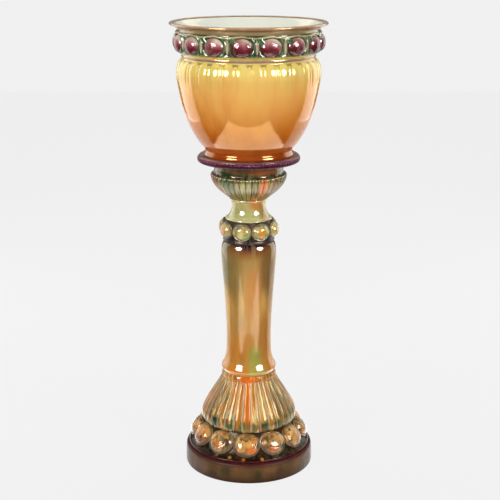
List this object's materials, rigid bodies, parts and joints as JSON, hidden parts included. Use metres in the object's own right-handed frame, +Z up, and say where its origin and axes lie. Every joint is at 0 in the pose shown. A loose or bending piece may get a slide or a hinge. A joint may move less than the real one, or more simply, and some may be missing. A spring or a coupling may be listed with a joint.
{
  "type": "jardiniere on stand",
  "caption": "Glazed pottery jardiniere on stand: a reeded bowl with a fruit band and flared lip lifts off a hollow column with gadrooned capital, egg-moulded knop and round plinth.",
  "frame": {"origin": "on the floor, at the axis of the stand, under the middle of the plinth", "axes": "+Z up the axis towards the bowl's lip; -Y towards the viewer of the picture, +X to the viewer's right"},
  "size_m": [0.3254, 0.3254, 0.96],
  "materials": {
    "umber_glaze": "matte",
    "dark_olive_glaze": "gloss",
    "amber_glaze": "gloss",
    "olive_glaze": "gloss",
    "honey_olive_glaze": "gloss",
    "teal_glaze": "gloss",
    "straw_glaze": "gloss",
    "pale_green_glaze": "gloss",
    "moss_glaze": "gloss",
    "aubergine_glaze": "gloss",
    "honey_glaze": "gloss",
    "plum_glaze": "gloss",
    "leaf_glaze": "gloss"
  },
  "bodies": {
    "stand": {"plinth": "umber_glaze", "foot_ring": "dark_olive_glaze", "foot_eggs": "amber_glaze", "skirt": "olive_glaze", "shaft": "honey_olive_glaze", "knop": "teal_glaze", "knop_eggs": "straw_glaze", "neck": "pale_green_glaze", "capital": "moss_glaze", "ledge": "aubergine_glaze"},
    "jardiniere": {"bowl": "honey_glaze", "plums": "plum_glaze", "leaves": "leaf_glaze"}
  },
  "joints": [
    {"name": "jardiniere_lift", "type": "slide", "parent": "stand", "child": "jardiniere", "axis": [0, 0, 1], "range_m": [0, 0.25]}
  ]
}
